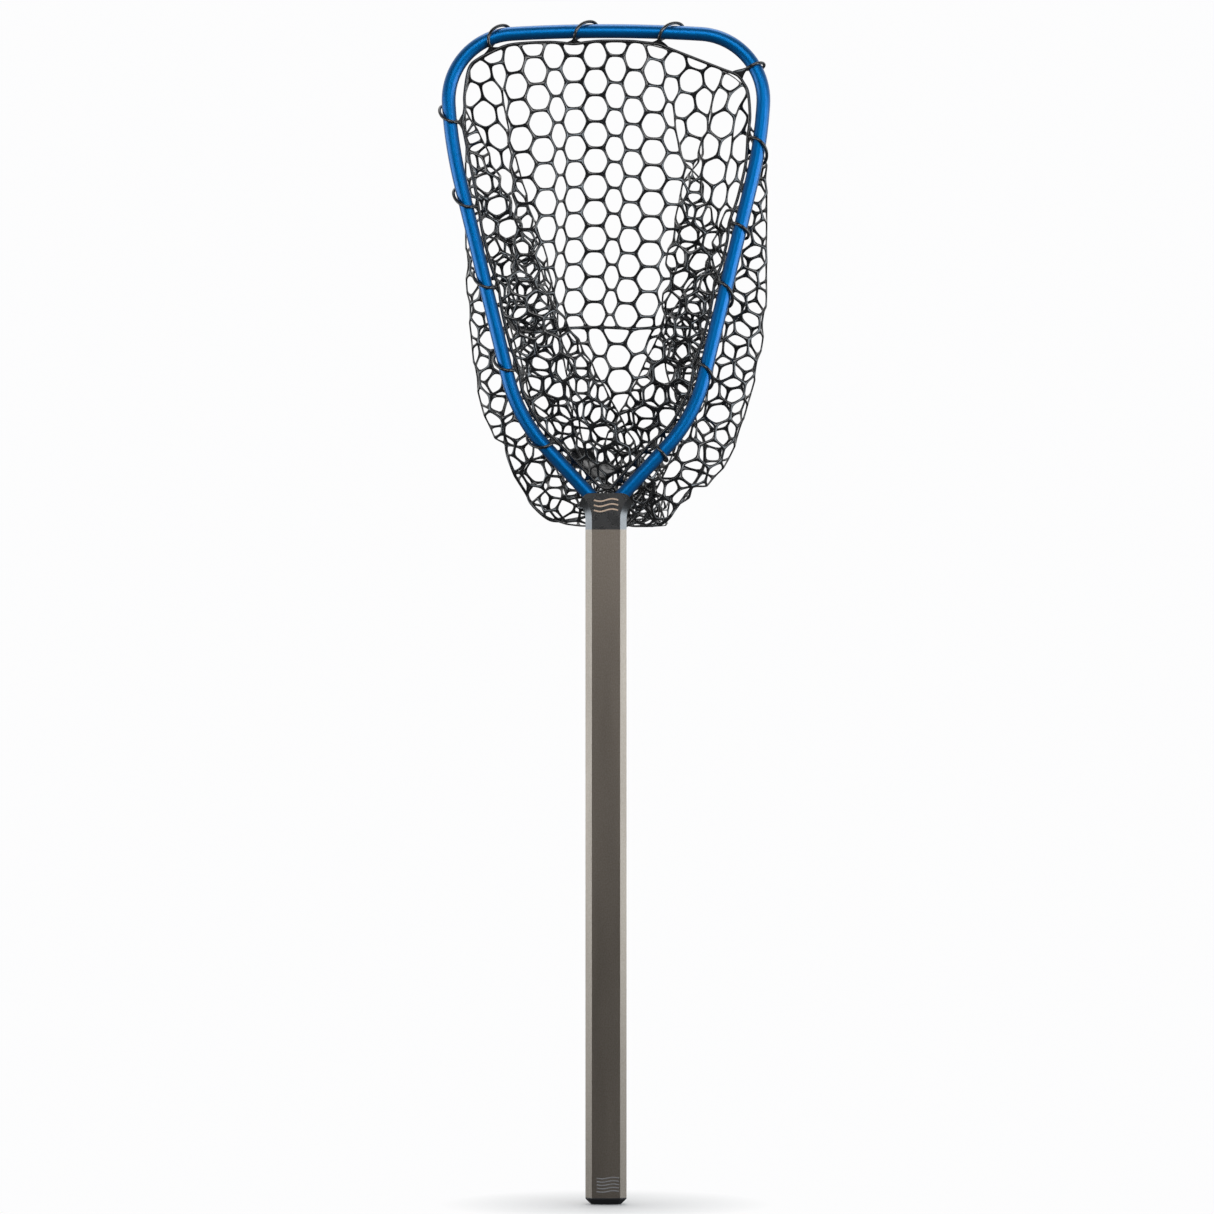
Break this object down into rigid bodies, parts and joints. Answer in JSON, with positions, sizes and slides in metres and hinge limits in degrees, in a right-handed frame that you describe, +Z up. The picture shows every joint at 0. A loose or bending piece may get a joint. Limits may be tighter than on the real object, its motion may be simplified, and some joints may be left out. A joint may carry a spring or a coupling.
{
  "type": "landing net",
  "caption": "Long-handled landing net: bent aluminium tube hoop in a machined yoke, eight-sided tube handle with pull-out butt plug, and a looped rubber mesh bag.",
  "frame": {"origin": "centre of the butt plug's end face, on the handle's axis, where an upright net holder or a hand holds the net", "axes": "+Z up the handle to the hoop, -Y is the front, where the hoop's mouth opens, +Y is the back, where the bag hangs, +X to the right seen from the front"},
  "size_m": [0.2993, 0.146, 1.0702],
  "materials": {
    "handle_anodised": "satin dark bronze-grey anodising",
    "yoke_black": "satin black anodising, machined bevels",
    "hoop_blue": "satin blue anodising",
    "bare_aluminium": "bare turned aluminium",
    "screw_steel": "dark stainless steel",
    "plug_black": "satin black",
    "seal_rubber": "matte rubber",
    "net_rubber": "glossy moulded rubber"
  },
  "bodies": {
    "frame": {"handle_tube": "handle_anodised", "yoke": "yoke_black", "handle_screw_lower": "screw_steel", "handle_screw_upper": "screw_steel", "hoop_tube": "hoop_blue", "hoop_insert_left": "bare_aluminium", "hoop_insert_right": "bare_aluminium", "hoop_screw_left": "screw_steel", "hoop_screw_right": "screw_steel", "net_rim": "net_rubber", "net_loop_01": "net_rubber", "net_loop_02": "net_rubber", "net_loop_03": "net_rubber", "net_loop_04": "net_rubber", "net_loop_05": "net_rubber", "net_loop_06": "net_rubber", "net_loop_07": "net_rubber", "net_loop_08": "net_rubber", "net_loop_09": "net_rubber", "net_loop_10": "net_rubber", "net_loop_11": "net_rubber", "net_loop_12": "net_rubber", "net_loop_13": "net_rubber", "net_loop_14": "net_rubber"},
    "butt_plug": {"butt_plug": "plug_black", "butt_ring_lower": "seal_rubber", "butt_ring_upper": "seal_rubber"},
    "net_bag": {"net_wall": "net_rubber", "net_base": "net_rubber", "net_base_seam": "net_rubber", "net_base_patch": "net_rubber"}
  },
  "joints": [
    {"name": "butt_plug_pull", "type": "slide", "parent": "frame", "child": "butt_plug", "axis": [0, 0, -1], "range_m": [0, 0.06]},
    {"name": "bag_swing", "type": "hinge", "parent": "frame", "child": "net_bag", "pos_m": [0, 0.01, 1.05], "axis": [1, 0, 0], "range_deg": [0, 25]}
  ]
}
